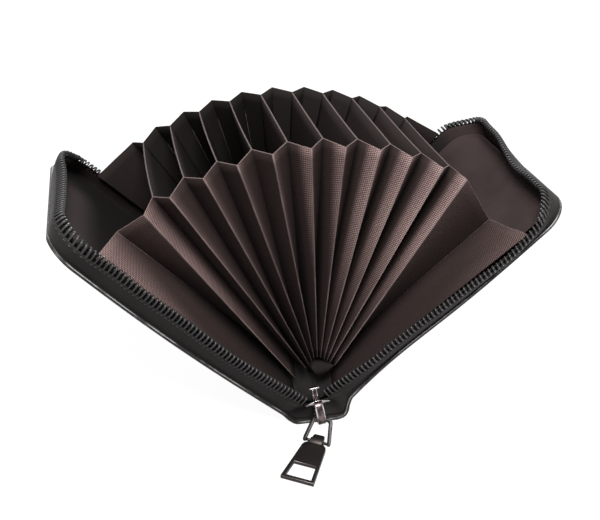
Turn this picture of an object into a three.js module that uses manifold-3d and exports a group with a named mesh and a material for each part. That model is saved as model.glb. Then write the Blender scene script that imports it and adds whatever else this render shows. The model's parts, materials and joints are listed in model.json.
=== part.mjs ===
// A zip-around accordion card wallet of black leather, standing open on its spine like a fan.
// Millimetres, +Z up, +Y away from the viewer. The origin is the centre of the spine's underside.
// Two leather covers hinge on the spine. Ten leaves fan out between them, joined front and back
// by pleated fabric gussets, and a zip runs round the covers' walls to a slider at the spine's front end.
import * as THREE from 'three';
import { mergeVertices } from 'three/addons/utils/BufferGeometryUtils.js';
import Module from 'manifold-3d';

const wasm = await Module();
wasm.setup();

const degrees = THREE.MathUtils.degToRad;

// Driving dimensions: the case
const caseDepth = 78;         // along the spine, front end to back end
const coverLength = 109;      // from the hinge line to the cover's free edge
const coverCorner = 11;       // radius of the free corners
const openAngle = 45.5;       // lean of each open cover from the vertical, degrees
const hingeHalf = 10.5;       // hinge line's distance from the middle plane
const hingeHeight = 4;        // hinge line's height above the table
const coverFoot = 0.9;        // where a cover's leather starts, measured from its hinge line
const spineFlat = 17;         // width of the flat that the wallet stands on
const spineLip = 2.8;         // height of the spine's turned-up edges
const clearance = 0.3;        // gap between pieces that are glued or sewn together

// Driving dimensions: sheet thicknesses
const leatherThickness = 1.2;
const boardThickness = 0.9;
const liningThickness = 0.5;
const tapeThickness = 0.6;
const leafThickness = 0.6;
const gussetThickness = 1.1;  // measured along the spine, so less across a slanted panel

// Driving dimensions: the zip's wall round three sides of each cover
const wallInset = 1.6;        // how far the cover's edge stands out past the wall
const wallHeight = 7.0;
const wallFoot = 1.6;         // where wall, tape and coil start, measured from the hinge line
const tapeHeight = 3.4;
const tapeShow = 0.4;         // height of tape that shows above the wall
const coilWidth = 2.2;
const coilHeight = 1.6;

// Driving dimensions: the accordion
const leafCount = 10;
const leafPitch = 7.2;        // degrees between leaves in the open fan
const fanLean = -2.5;         // lean of the whole fan towards the left cover, degrees
const apexHeight = 11;        // height of the point that the leaves' planes meet at
const footRadius = 10;        // from that point to the leaves' sewn feet
const leafReach = 95;         // from that point to the leaves' top edges
const leafWidth = 48;
const pleatDepth = 7.7;       // how far a pleat's ridge stands out past the leaves, at the top
const pleatFootDepth = 9.5;   // and at the foot, where the pleats close up
const pleatFoot = 13.5;       // radius where the pleats start
const endRidgeStep = 2.6;     // degrees from the last leaf to the ridge beside it
const endFoldAngle = 45;      // lean of the loose fold between that ridge and the cover, degrees
const endFoldReach = 92;
const endSeamReach = 94;      // how far up the cover the gusset's end is sewn
const baseHalf = 6;           // half width of the accordion's sewn base
const baseMargin = 4;         // degrees of the base's round top past the outer leaves

// Driving dimensions: the slider and its pull
const goreTop = 4.9;          // top of the leather gore that closes each end of the spine
const goreWidth = 17;
const chainWidth = 5;
const chainDrop = 3.5;        // how far below the slider's shoulder the closed chain ends
const sliderTail = 4.4;
const sliderShoulder = 12.2;
const sliderCrown = 16;
const sliderHalf = 4.2;
const sliderTailHalf = 1.2;
const sliderWaist = 10.1;     // height where the front plate widens into its wings
const crownHalf = 1.7;
const crownBar = 0.8;         // height of the bar on top of the back plate
const crownStemHalf = 0.9;
const wingDrop = 0.7;         // fall of the front plate's edge from shoulder to wing tip
const plateThickness = 1.0;
const channel = 2.8;          // gap between the slider's two plates
const postHalf = 0.8;
const postDrop = 0.2;         // top of the post below the shoulder
const postLength = 2.8;
const bridgeWidth = 2.4;
const bridgeBar = 0.9;
const bridgeDrop = 0.4;       // top of the bridge below the shoulder
const bridgeGap = 4.2;        // room for the ring's bar under the bridge
const pullTurn = -32;         // where the pull points, degrees about the vertical
const barShift = 0.75;        // how far the ring has slid along its bar in the bridge
const ringWidth = 10.4;       // over the legs, at the pegs
const ringTopWidth = 7.8;     // over the bar that runs under the bridge
const ringBar = 1.5;
const ringLength = 8.25;      // from the bridge bar's centre to the pegs
const pegRadius = 0.55;
const pegBore = 0.7;
const pegLength = 2.0;
const legTip = 0.8;           // how far a leg runs on past its peg
const tabThickness = 1.5;
const neckThickness = 2.4;
const neckHalf = 2.6;
const neckLength = 3.7;       // from the pegs back to the neck's end
const neckEndHalf = 1.9;
const shoulderHalf = 4.4;
const shoulderReach = 2.7;    // from the pegs forward to the shoulders
const tabReach = 21;          // from the pegs to the tab's far end
const tabEndHalf = 6.1;
const windowStart = 12.3;
const windowLength = 7.3;
const windowBorder = 1.25;

// How finely round forms are drawn
const curveSteps = 6;
const pegSides = 12;
const weldDistance = 1e-4;

// Places worked out from those sizes
const leatherTop = leatherThickness / 2;
const boardBottom = leatherTop + clearance;
const boardTop = boardBottom + boardThickness;
const liningBottom = boardTop + clearance;
const liningTop = liningBottom + liningThickness;
const wallBottom = leatherTop + clearance;
const wallTop = wallBottom + wallHeight;
const wallInner = wallInset + leatherThickness;
const tapeOuter = wallInner + clearance;
const tapeTop = wallTop + tapeShow;
const coilCentre = tapeOuter + tapeThickness / 2;
const coilBottom = tapeTop + clearance;
const coilTop = coilBottom + coilHeight;
const goreFront = caseDepth / 2 - wallInset + leatherThickness / 2;
const sliderBack = caseDepth / 2 - wallInset + clearance;
const sliderFront = sliderBack + 2 * plateThickness + channel;
const chainMiddle = sliderBack + plateThickness + channel / 2;

function material(color, roughness, metalness) {
  return new THREE.MeshStandardMaterial({ color, roughness, metalness });
}

const blackLeather = () => material(0x121112, 0.45, 0);
const brownFabric = () => material(0x3a2c28, 0.8, 0);
const greyBoard = () => material(0x6a655e, 0.9, 0);
const blackTape = () => material(0x0d0c0c, 0.85, 0);
const blackNylon = () => material(0x17161a, 0.35, 0);
const brightMetal = () => material(0x8d8a88, 0.25, 1);
const darkMetal = () => material(0x47423f, 0.35, 1);

const wallet = new THREE.Group();

function place(parent, name, geometry, finish) {
  const mesh = new THREE.Mesh(geometry, finish);
  mesh.name = name;
  parent.add(mesh);
  return mesh;
}

function prism(shape, depth) {
  return new THREE.ExtrudeGeometry(shape, { depth, bevelEnabled: false, curveSegments: curveSteps });
}

function outline(points) {
  return new THREE.Shape(points.map(([a, b]) => new THREE.Vector2(a, b)));
}

// A profile drawn across the wallet, in x and z, run along y from near to far
function alongSpine(shape, near, far) {
  return prism(shape, far - near).rotateX(Math.PI / 2).translate(0, far, 0);
}

// A profile drawn in y and z, run along x from low to high
function acrossSpine(shape, low, high) {
  const turn = new THREE.Matrix4().makeBasis(
    new THREE.Vector3(0, 1, 0), new THREE.Vector3(0, 0, 1), new THREE.Vector3(1, 0, 0));
  return prism(shape, high - low).applyMatrix4(turn).translate(low, 0, 0);
}

function box(x0, x1, y0, y1, z0, z1) {
  return new THREE.BoxGeometry(x1 - x0, y1 - y0, z1 - z0)
    .translate((x0 + x1) / 2, (y0 + y1) / 2, (z0 + z1) / 2);
}

// Joining and cutting
function toSolid(geometry) {
  const bare = geometry.clone();
  bare.deleteAttribute('normal');
  bare.deleteAttribute('uv');
  const merged = mergeVertices(bare, weldDistance);
  return new wasm.Manifold(new wasm.Mesh({
    numProp: 3,
    vertProperties: new Float32Array(merged.attributes.position.array),
    triVerts: new Uint32Array(merged.index.array),
  }));
}

function toGeometry(solid) {
  const { vertProperties, triVerts } = solid.getMesh();
  const geometry = new THREE.BufferGeometry();
  geometry.setAttribute('position', new THREE.BufferAttribute(new Float32Array(vertProperties), 3));
  geometry.setIndex(new THREE.BufferAttribute(new Uint32Array(triVerts), 1));
  geometry.computeVertexNormals();
  return geometry;
}

function joined(...geometries) {
  return toGeometry(geometries.map(toSolid).reduce((whole, piece) => whole.add(piece)));
}

// A sheet given by rows of points, thickened by one offset into a closed body
function sheetBody(rows, offset) {
  const across = rows.length;
  const along = rows[0].length;
  const points = [...rows.flat(), ...rows.flat().map((p) => p.clone().add(offset))];
  const at = (layer, i, j) => layer * across * along + i * along + j;
  const faces = [];
  const quad = (a, b, c, d) => faces.push(a, b, c, a, c, d);
  for (let i = 0; i < across - 1; i += 1) {
    for (let j = 0; j < along - 1; j += 1) {
      quad(at(0, i, j), at(0, i + 1, j), at(0, i + 1, j + 1), at(0, i, j + 1));
      quad(at(1, i, j), at(1, i, j + 1), at(1, i + 1, j + 1), at(1, i + 1, j));
    }
    quad(at(0, i, 0), at(1, i, 0), at(1, i + 1, 0), at(0, i + 1, 0));
    quad(at(0, i, along - 1), at(0, i + 1, along - 1), at(1, i + 1, along - 1), at(1, i, along - 1));
  }
  for (let j = 0; j < along - 1; j += 1) {
    quad(at(0, 0, j), at(0, 0, j + 1), at(1, 0, j + 1), at(1, 0, j));
    quad(at(0, across - 1, j), at(1, across - 1, j), at(1, across - 1, j + 1), at(0, across - 1, j + 1));
  }
  let volume = 0;
  for (let f = 0; f < faces.length; f += 3) {
    const [a, b, c] = [points[faces[f]], points[faces[f + 1]], points[faces[f + 2]]];
    volume += a.dot(b.clone().cross(c));
  }
  const geometry = new THREE.BufferGeometry().setFromPoints(points);
  geometry.setIndex(volume > 0 ? faces : faces.reverse());
  geometry.computeVertexNormals();
  return geometry;
}

// Spine: the leather channel that the wallet stands on, its lining, and a gore at each end
const channelOuter = hingeHalf + leatherTop;
const channelInner = hingeHalf - leatherTop;
const spineProfile = new THREE.Shape();
spineProfile.moveTo(-spineFlat / 2, 0);
spineProfile.lineTo(spineFlat / 2, 0);
spineProfile.quadraticCurveTo(channelOuter, 0, channelOuter, spineLip);
spineProfile.lineTo(channelInner, spineLip);
spineProfile.quadraticCurveTo(channelInner, leatherThickness, spineFlat / 2 - leatherThickness, leatherThickness);
spineProfile.lineTo(-spineFlat / 2 + leatherThickness, leatherThickness);
spineProfile.quadraticCurveTo(-channelInner, leatherThickness, -channelInner, spineLip);
spineProfile.lineTo(-channelOuter, spineLip);
spineProfile.quadraticCurveTo(-channelOuter, 0, -spineFlat / 2, 0);
place(wallet, 'spine_leather', alongSpine(spineProfile, -caseDepth / 2, caseDepth / 2), blackLeather());

const spineLiningBottom = leatherThickness + clearance;
const spineLiningTop = spineLiningBottom + liningThickness;
const spineLiningHalf = spineFlat / 2 - leatherThickness;
const liningEnd = goreFront - leatherThickness - clearance;
place(wallet, 'spine_lining',
  box(-spineLiningHalf, spineLiningHalf, -liningEnd, liningEnd, spineLiningBottom, spineLiningTop), brownFabric());

for (const [name, side] of [['gore_front', -1], ['gore_back', 1]]) {
  const faces = [side * goreFront, side * (goreFront - leatherThickness)].sort((a, b) => a - b);
  place(wallet, name,
    box(-goreWidth / 2, goreWidth / 2, ...faces, leatherThickness + clearance, goreTop), blackLeather());
}

// Accordion base: the folded strip that the leaves' feet are sewn to, with a round top under them
const leafAngle = (i) => fanLean + leafPitch * (i - (leafCount - 1) / 2);
const firstLeaf = leafAngle(0);
const lastLeaf = leafAngle(leafCount - 1);
const baseTop = footRadius - leafThickness / 2 - clearance;
const baseProfile = new THREE.Shape();
baseProfile.moveTo(-baseHalf, spineLiningTop + clearance);
baseProfile.lineTo(baseHalf, spineLiningTop + clearance);
baseProfile.absarc(0, apexHeight, baseTop, degrees(90 - lastLeaf - baseMargin), degrees(90 - firstLeaf + baseMargin));
place(wallet, 'accordion_base', alongSpine(baseProfile, -leafWidth / 2, leafWidth / 2), brownFabric());

// Leaves: stiff dividers, each on its own foot, so that they stand parallel when the covers shut
const leafDepth = leafWidth - 2 * clearance;
for (let i = 0; i < leafCount; i += 1) {
  const angle = degrees(leafAngle(i));
  const foot = new THREE.Group();
  foot.position.set(footRadius * Math.sin(angle), 0, apexHeight + footRadius * Math.cos(angle));
  foot.rotation.y = angle;
  wallet.add(foot);
  const leafLength = leafReach - footRadius;
  const sheet = new THREE.BoxGeometry(leafThickness, leafDepth, leafLength).translate(0, 0, leafLength / 2);
  place(foot, `leaf_${String(i + 1).padStart(2, '0')}`, sheet, brownFabric());
}

// Gussets: a pleated strip at the front and one at the back. Its inner folds follow the leaves'
// edges, its ridges stand out between them, and its ends reach the zip tape on each cover.
function fanPoint(angle, radius, y) {
  return new THREE.Vector3(radius * Math.sin(degrees(angle)), y, apexHeight + radius * Math.cos(degrees(angle)));
}

function coverPoint(side, along, inward, y) {
  const lean = degrees(openAngle);
  return new THREE.Vector3(
    side * (hingeHalf + along * Math.sin(lean) - inward * Math.cos(lean)), y,
    hingeHeight + along * Math.cos(lean) + inward * Math.sin(lean));
}

const seamDepth = caseDepth / 2 - tapeOuter - tapeThickness - clearance - gussetThickness;
const seamHeight = tapeTop - tapeHeight / 2;

function gussetFolds(end) {
  const innerFold = (angle, reach = leafReach) =>
    [fanPoint(angle, pleatFoot, end * leafWidth / 2), fanPoint(angle, reach, end * leafWidth / 2)];
  const ridge = (angle) => [
    fanPoint(angle, pleatFoot, end * (leafWidth / 2 + pleatFootDepth)),
    fanPoint(angle, leafReach, end * (leafWidth / 2 + pleatDepth))];
  const seam = (side) => [
    coverPoint(side, pleatFoot, seamHeight, end * seamDepth),
    coverPoint(side, endSeamReach, seamHeight, end * seamDepth)];
  const folds = [seam(-1), innerFold(-endFoldAngle, endFoldReach), ridge(firstLeaf - endRidgeStep)];
  for (let i = 0; i < leafCount; i += 1) {
    folds.push(innerFold(leafAngle(i)));
    const step = i < leafCount - 1 ? leafPitch / 2 : endRidgeStep;
    folds.push(ridge(leafAngle(i) + step));
  }
  folds.push(innerFold(endFoldAngle, endFoldReach), seam(1));
  return folds;
}

for (const [name, end] of [['gusset_front', -1], ['gusset_back', 1]]) {
  const body = sheetBody(gussetFolds(end), new THREE.Vector3(0, end * gussetThickness, 0));
  place(wallet, name, body, brownFabric());
}

// Covers: leather, stiffener and lining, with the zip's wall, tape and coil round three sides.
// Drawn flat as y across and z up from the hinge line, and stacked inwards from the leather.
function coverOutline(inset, foot) {
  const half = caseDepth / 2 - inset;
  const top = coverLength - inset;
  const radius = coverCorner - inset;
  const shape = new THREE.Shape();
  shape.moveTo(-half, foot);
  shape.lineTo(half, foot);
  shape.lineTo(half, top - radius);
  shape.absarc(half - radius, top - radius, radius, 0, Math.PI / 2);
  shape.absarc(-half + radius, top - radius, radius, Math.PI / 2, Math.PI);
  return shape;
}

// The strip between two such outlines, open at the hinge
function bandOutline(outerInset, innerInset, foot) {
  const walk = (inset) => {
    const [leftFoot, ...rest] = coverOutline(inset, foot).getPoints(curveSteps);
    return [...rest, leftFoot];
  };
  return new THREE.Shape([...walk(outerInset), ...walk(innerInset).reverse()]);
}

for (const [word, side] of [['left', -1], ['right', 1]]) {
  const cover = new THREE.Group();
  cover.position.set(side * hingeHalf, 0, hingeHeight);
  cover.rotation.y = degrees(side * openAngle);
  wallet.add(cover);
  const layer = (shape, low, high) =>
    (side < 0 ? acrossSpine(shape, low, high) : acrossSpine(shape, -high, -low));

  const inside = wallInner + clearance;
  const insideFoot = wallFoot + leatherThickness;
  place(cover, `${word}_cover_leather`,
    layer(coverOutline(0, coverFoot), -leatherTop, leatherTop), blackLeather());
  place(cover, `${word}_cover_board`,
    layer(coverOutline(inside, insideFoot), boardBottom, boardTop), greyBoard());
  place(cover, `${word}_cover_lining`,
    layer(coverOutline(inside, insideFoot), liningBottom, liningTop), brownFabric());
  place(cover, `${word}_zip_wall`,
    layer(bandOutline(wallInset, wallInner, wallFoot), wallBottom, wallTop), blackLeather());
  place(cover, `${word}_zip_tape`,
    layer(bandOutline(tapeOuter, tapeOuter + tapeThickness, wallFoot), tapeTop - tapeHeight, tapeTop), blackTape());
  place(cover, `${word}_zip_coil`,
    layer(bandOutline(coilCentre - coilWidth / 2, coilCentre + coilWidth / 2, wallFoot), coilBottom, coilTop),
    blackNylon());
}

// Zip end: the closed stub of chain that is sewn to the front gore and holds the slider
const stubBack = goreFront + clearance;
const stubFront = chainMiddle + tapeThickness / 2;
const stubBottom = leatherThickness + clearance;
const stubShelf = goreTop - clearance - tapeThickness;
const stubTop = sliderShoulder - chainDrop;
const stubProfile = outline([
  [-stubBack, stubBottom], [-stubBack, goreTop - clearance], [-stubFront + tapeThickness, goreTop - clearance],
  [-stubFront + tapeThickness, stubTop], [-stubFront, stubTop], [-stubFront, stubShelf],
  [-stubBack - tapeThickness, stubShelf], [-stubBack - tapeThickness, stubBottom]]);
place(wallet, 'zip_chain_end', acrossSpine(stubProfile, -chainWidth / 2, chainWidth / 2), blackTape());

// Slider: a front and a back plate joined by the post that parts the two rows of teeth
const wingTop = sliderShoulder - wingDrop;
const wingBottom = wingTop - plateThickness;
const crownBottom = sliderCrown - crownBar;
const frontPlate = alongSpine(outline([
  [-sliderTailHalf, sliderTail], [sliderTailHalf, sliderTail], [sliderTailHalf, sliderWaist],
  [sliderHalf, wingBottom], [sliderHalf, wingTop], [crownHalf, sliderShoulder], [-crownHalf, sliderShoulder],
  [-sliderHalf, wingTop], [-sliderHalf, wingBottom], [-sliderTailHalf, sliderWaist]]),
-sliderFront, -sliderFront + plateThickness);
const backPlate = alongSpine(outline([
  [-sliderTailHalf, goreTop + clearance], [sliderTailHalf, goreTop + clearance], [sliderTailHalf, sliderWaist],
  [crownStemHalf, sliderShoulder], [crownStemHalf, crownBottom], [crownHalf, crownBottom], [crownHalf, sliderCrown],
  [-crownHalf, sliderCrown], [-crownHalf, crownBottom], [-crownStemHalf, crownBottom],
  [-crownStemHalf, sliderShoulder], [-sliderTailHalf, sliderWaist]]),
-sliderBack - plateThickness, -sliderBack);
const post = box(-postHalf, postHalf, -sliderFront + plateThickness / 2, -sliderBack - plateThickness / 2,
  sliderShoulder - postDrop - postLength, sliderShoulder - postDrop);
place(wallet, 'slider_body', joined(frontPlate, backPlate, post), brightMetal());

// Bridge: the arch on the slider's face that the pull's ring hangs in
const bridgeBack = sliderFront + clearance;
const bridgeInner = sliderFront + bridgeGap;
const bridgeOuter = bridgeInner + bridgeBar;
const bridgeTop = sliderShoulder - bridgeDrop;
const bridgeProfile = outline([
  [-bridgeBack, sliderTail], [-bridgeBack, sliderTail + bridgeBar], [-bridgeInner, sliderTail + bridgeBar],
  [-bridgeInner, bridgeTop - bridgeBar], [-bridgeBack, bridgeTop - bridgeBar], [-bridgeBack, bridgeTop],
  [-bridgeOuter + bridgeBar, bridgeTop], [-bridgeOuter, bridgeTop - bridgeBar],
  [-bridgeOuter, sliderTail + bridgeBar], [-bridgeOuter + bridgeBar, sliderTail]]);
place(wallet, 'slider_bridge', acrossSpine(bridgeProfile, -bridgeWidth / 2, bridgeWidth / 2), brightMetal());

// Pull: the ring slopes from the bridge to the table and the tab lies flat in front of it
const barSwing = ringBar * Math.SQRT1_2;
const barHeight = sliderTail + bridgeBar + barSwing + clearance / 2;
const pegHeight = neckThickness / 2;
const ringSlope = Math.asin((barHeight - pegHeight) / ringLength);
const pull = new THREE.Group();
pull.position.set(0, -sliderFront - bridgeGap / 2, barHeight);
pull.rotation.z = degrees(pullTurn);
pull.translateX(barShift);
wallet.add(pull);

const ringHalf = ringWidth / 2;
const ringTopHalf = ringTopWidth / 2;
const legEnd = -ringLength - legTip;
const legBend = -ringLength + legTip;
const ringShape = outline([
  [-ringHalf, legEnd], [-ringHalf, legBend], [-ringTopHalf, -ringBar / 2], [-ringTopHalf + ringBar / 2, ringBar / 2],
  [ringTopHalf - ringBar / 2, ringBar / 2], [ringTopHalf, -ringBar / 2], [ringHalf, legBend], [ringHalf, legEnd],
  [ringHalf - ringBar, legEnd], [ringHalf - ringBar, legBend], [ringTopHalf - ringBar, -ringBar / 2],
  [-ringTopHalf + ringBar, -ringBar / 2], [-ringHalf + ringBar, legBend], [-ringHalf + ringBar, legEnd]]);
const ringBars = prism(ringShape, ringBar).translate(0, 0, -ringBar / 2);
const peg = (side) => new THREE.CylinderGeometry(pegRadius, pegRadius, pegLength + ringBar / 2, pegSides)
  .rotateZ(Math.PI / 2)
  .translate(side * (ringHalf - ringBar - pegLength / 2 + ringBar / 4), -ringLength, 0);
const ring = place(pull, 'pull_ring', joined(ringBars, peg(-1), peg(1)), brightMetal());
ring.rotation.x = ringSlope;

const tabShape = outline([
  [-neckEndHalf, neckLength], [-neckHalf, neckThickness / 2], [-shoulderHalf, -shoulderReach],
  [-tabEndHalf, -tabReach], [tabEndHalf, -tabReach], [shoulderHalf, -shoulderReach],
  [neckHalf, neckThickness / 2], [neckEndHalf, neckLength]]);
const halfAt = (reach) =>
  shoulderHalf + (tabEndHalf - shoulderHalf) * (reach - shoulderReach) / (tabReach - shoulderReach) - windowBorder;
const windowEnd = windowStart + windowLength;
tabShape.holes.push(outline([
  [-halfAt(windowStart), -windowStart], [halfAt(windowStart), -windowStart],
  [halfAt(windowEnd), -windowEnd], [-halfAt(windowEnd), -windowEnd]]));
const tabPlate = prism(tabShape, tabThickness).translate(0, 0, -pegHeight);
const neck = box(-neckHalf, neckHalf, -neckThickness / 2, neckThickness / 2, -pegHeight, pegHeight);
const bore = new THREE.CylinderGeometry(pegBore, pegBore, ringWidth, pegSides).rotateZ(Math.PI / 2);
const tab = place(pull, 'pull_tab',
  toGeometry(toSolid(tabPlate).add(toSolid(neck)).subtract(toSolid(bore))), darkMetal());
tab.position.set(0, -ringLength * Math.cos(ringSlope), pegHeight - barHeight);

export default wallet;
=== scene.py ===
# A zip-around accordion card wallet of black leather, open like a fan and standing on its spine.
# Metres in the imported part's frame: +X right, +Y away, +Z up, the origin under the middle of the spine.
import json
import math

import bpy
import numpy as np
from mathutils import Matrix, Vector


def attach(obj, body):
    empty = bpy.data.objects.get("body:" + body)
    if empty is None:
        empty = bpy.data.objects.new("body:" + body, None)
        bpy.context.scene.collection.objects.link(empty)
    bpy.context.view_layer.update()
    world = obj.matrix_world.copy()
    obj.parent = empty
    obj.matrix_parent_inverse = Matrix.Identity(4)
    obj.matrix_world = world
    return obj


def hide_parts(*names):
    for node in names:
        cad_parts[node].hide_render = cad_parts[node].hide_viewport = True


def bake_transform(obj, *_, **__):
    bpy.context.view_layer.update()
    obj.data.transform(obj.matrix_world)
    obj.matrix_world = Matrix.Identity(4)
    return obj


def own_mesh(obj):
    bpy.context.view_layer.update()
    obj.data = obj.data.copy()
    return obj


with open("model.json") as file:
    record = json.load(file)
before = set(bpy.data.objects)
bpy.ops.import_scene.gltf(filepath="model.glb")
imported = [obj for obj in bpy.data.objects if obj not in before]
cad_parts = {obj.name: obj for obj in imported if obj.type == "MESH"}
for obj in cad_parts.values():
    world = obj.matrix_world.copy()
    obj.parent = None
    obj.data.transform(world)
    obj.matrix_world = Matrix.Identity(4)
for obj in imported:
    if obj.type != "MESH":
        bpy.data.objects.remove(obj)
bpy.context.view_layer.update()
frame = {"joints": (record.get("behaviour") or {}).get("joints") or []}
bpy.ops.object.select_all(action="DESELECT")

# Camera: it stands left of the middle and looks down on the fan, with a slight roll.
# The lens and the shift give the photograph's framing in a 600 x 520 picture.
eye = Vector((-0.0678, -0.2891, 0.2109))
azimuth, elevation, roll = np.radians((-13.19, 27.55, 1.69))
forward = Vector((-math.sin(azimuth) * math.cos(elevation),
                  math.cos(azimuth) * math.cos(elevation), -math.sin(elevation)))
level = forward.cross(Vector((0, 0, 1))).normalized()
upright = level.cross(forward)
right_of_view = level * math.cos(roll) + upright * math.sin(roll)
top_of_view = upright * math.cos(roll) - level * math.sin(roll)
bpy.ops.object.camera_add()
camera = bpy.context.object
camera.matrix_world = (Matrix.Translation(eye)
                       @ Matrix((right_of_view, top_of_view, -forward)).transposed().to_4x4())
camera.data.sensor_width = 36
camera.data.lens = 53.31
camera.data.shift_x = 0.0041
camera.data.shift_y = -0.0334
camera.data.clip_start = 0.01
bpy.context.scene.camera = camera
bpy.context.scene.view_settings.view_transform = "Standard"


# Floor and light: a plain white sweep under four soft lamps, the main one overhead and a little in front.
# Camera and mirror rays see the sweep as white, and the wallet keeps its shadow on it.
class Finish:
    """A shader socket. Arithmetic on it adds Math nodes, and node() adds any other node."""

    def __init__(self, tree, socket=None):
        self.tree = tree
        self.socket = socket

    def node(self, kind, settings=(), values=(), output=0):
        """Adds a node of a kind, with its settings and socket values, and gives one of its outputs."""
        made = self.tree.nodes.new(kind)
        for name, setting in dict(settings).items():
            setattr(made, name, setting)
        for name, value in dict(values).items():
            if isinstance(value, Finish):
                self.tree.links.new(value.socket, made.inputs[name])
            else:
                made.inputs[name].default_value = value
        return Finish(self.tree, made.outputs[output])

    def maths(self, operation, first, second=0.0):
        """One Math node on two values or sockets."""
        return self.node("ShaderNodeMath", {"operation": operation}, {0: first, 1: second})

    def blend(self, share, first, second):
        """A colour between two, each a socket or its red, green and blue, by a share from 0 to 1."""
        first, second = [tone if isinstance(tone, Finish) else (*tone, 1) for tone in (first, second)]
        return self.node("ShaderNodeMix", {"data_type": "RGBA"}, {0: share, 6: first, 7: second}, 2)

    def ease(self, value, low, high):
        """0 below low, 1 above high, and a smooth rise between them. It falls where low is above high."""
        return self.node("ShaderNodeMapRange", {"interpolation_type": "SMOOTHSTEP"},
                         {"Value": value, "From Min": low, "From Max": high})

    def relief(self, height, strength, depth):
        """A bumped normal from a height that runs from 0 to 1, depth metres deep."""
        return self.node("ShaderNodeBump", (), {"Height": height, "Strength": strength, "Distance": depth})

    def place(self, uv_map=None):
        """Where a point is: on its piece in metres, or in one of the piece's UV maps."""
        if uv_map:
            return self.node("ShaderNodeUVMap", {"uv_map": uv_map})
        return self.node("ShaderNodeTexCoord", output="Object")

    def pair(self, uv_map):
        """The two values of a UV map."""
        split = self.node("ShaderNodeSeparateXYZ", (), {"Vector": self.place(uv_map)})
        return [Finish(self.tree, split.socket.node.outputs[axis]) for axis in ("X", "Y")]

    def noise(self, where, scale, detail):
        """Soft noise, with about scale spots to one unit of where."""
        return self.node("ShaderNodeTexNoise", (), {"Vector": where, "Scale": scale, "Detail": detail})

    def __add__(self, other):
        return self.maths("ADD", self, other)

    def __radd__(self, other):
        return self.maths("ADD", other, self)

    def __sub__(self, other):
        return self.maths("SUBTRACT", self, other)

    def __rsub__(self, other):
        return self.maths("SUBTRACT", other, self)

    def __mul__(self, other):
        return self.maths("MULTIPLY", self, other)

    def __rmul__(self, other):
        return self.maths("MULTIPLY", other, self)


def new_finish(name):
    """A material with one Principled shader, and the handle that its nodes are added through."""
    material = bpy.data.materials.new(name)
    material.use_nodes = True
    return material, Finish(material.node_tree)


def set_shader(material, values):
    """Sets the shader's sockets: a link where the value is a socket, a constant where it isn't."""
    tree = material.node_tree
    for name, value in values.items():
        socket = tree.nodes["Principled BSDF"].inputs[name]
        if isinstance(value, Finish):
            tree.links.new(value.socket, socket)
        else:
            socket.default_value = value


def seen_directly(handle):
    """1 for rays from the camera, from mirrors and through glass, 0 for light that falls on things."""
    outputs = handle.node("ShaderNodeLightPath").socket.node.outputs
    direct, mirror, clear = [Finish(handle.tree, outputs[f"Is {kind} Ray"])
                             for kind in ("Camera", "Glossy", "Transmission")]
    return handle.maths("MAXIMUM", handle.maths("MAXIMUM", direct, mirror), clear)


bpy.ops.mesh.primitive_plane_add(size=6)
floor = bpy.context.object
floor.name = "floor"
white_sweep, handle = new_finish("white_sweep")
dust = handle.node("ShaderNodeTexNoise", (), {"Scale": 40.0})
set_shader(white_sweep, {
    "Base Color": handle.blend(dust, (0.15, 0.15, 0.15), (0.16, 0.16, 0.16)),
    "Roughness": 0.9,
    "Specular IOR Level": 0.0,
    "Emission Color": handle.blend(seen_directly(handle), (0, 0, 0), (1, 1, 1)),
    "Emission Strength": 0.955,
})
floor.data.materials.append(white_sweep)

studio = bpy.data.worlds.new("studio")
studio.use_nodes = True
bpy.context.scene.world = studio
handle = Finish(studio.node_tree)
sky = handle.blend(seen_directly(handle), (0.045, 0.044, 0.043), (1, 1, 1))
studio.node_tree.links.new(sky.socket, studio.node_tree.nodes["Background"].inputs["Color"])

for name, spot, aim, size, power in (("lamp_overhead", (-0.085, -0.30, 0.63), (0, -0.02, 0.05), 0.30, 7.0),
                                     ("lamp_front", (-0.35, -0.75, 0.35), (0, 0, 0.04), 0.5, 0.5),
                                     ("lamp_right", (0.42, -0.55, 0.42), (0, 0, 0.05), 0.4, 1.5),
                                     ("lamp_back", (0.05, 0.80, 0.24), (0, 0.03, 0.05), 0.5, 4.5)):
    bpy.ops.object.light_add(type="AREA", location=spot)
    lamp = bpy.context.object
    lamp.name = name
    lamp.rotation_euler = (Vector(aim) - Vector(spot)).to_track_quat("-Z", "Y").to_euler()
    lamp.data.size = size
    lamp.data.energy = power

# Spine and covers: one wrap of black leather, two layers glued, that folds up along both sides of the spine.
# The edges are trimmed flush and painted, so each shows the beads of its two layers.
MM = 0.001
sides = ((-1, "left"), (1, "right"))
joints = {joint["name"]: joint for joint in frame["joints"]}
fold = joints["cover_left_fold"]
hinge_out = -fold["pos_m"][0] / MM
hinge_up = fold["pos_m"][2] / MM
lean_sin = math.sin(math.radians(fold["range_deg"][1]))
lean_cos = math.cos(math.radians(fold["range_deg"][1]))
case_half = 39.0
cover_length = 109.0
corner_radius = 11.0
leather_half = 0.65
spine_middle = 0.72
belly_out = 1.75
belly_run = 112.0
bow_in = 3.0
bow_middle = 22.0
bow_run = 32.0
curl_in = 4.6
curl_across = (14, 37)
curl_foot = (25, 70)
curl_top = (109.5, 95.5)


def smooth_through(place, knots, values):
    """A smooth line through values given at knots."""
    knots = np.asarray(knots, float)
    values = np.asarray(values, float)
    slope = np.gradient(values, knots)
    i = np.clip(np.searchsorted(knots, place) - 1, 0, len(knots) - 2)
    step = knots[i + 1] - knots[i]
    t = np.clip((place - knots[i]) / step, 0, 1)
    return ((1 + 2 * t) * (1 - t) ** 2 * values[i] + t * (1 - t) ** 2 * step * slope[i]
            + t * t * (3 - 2 * t) * values[i + 1] + t * t * (t - 1) * step * slope[i + 1])


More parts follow.
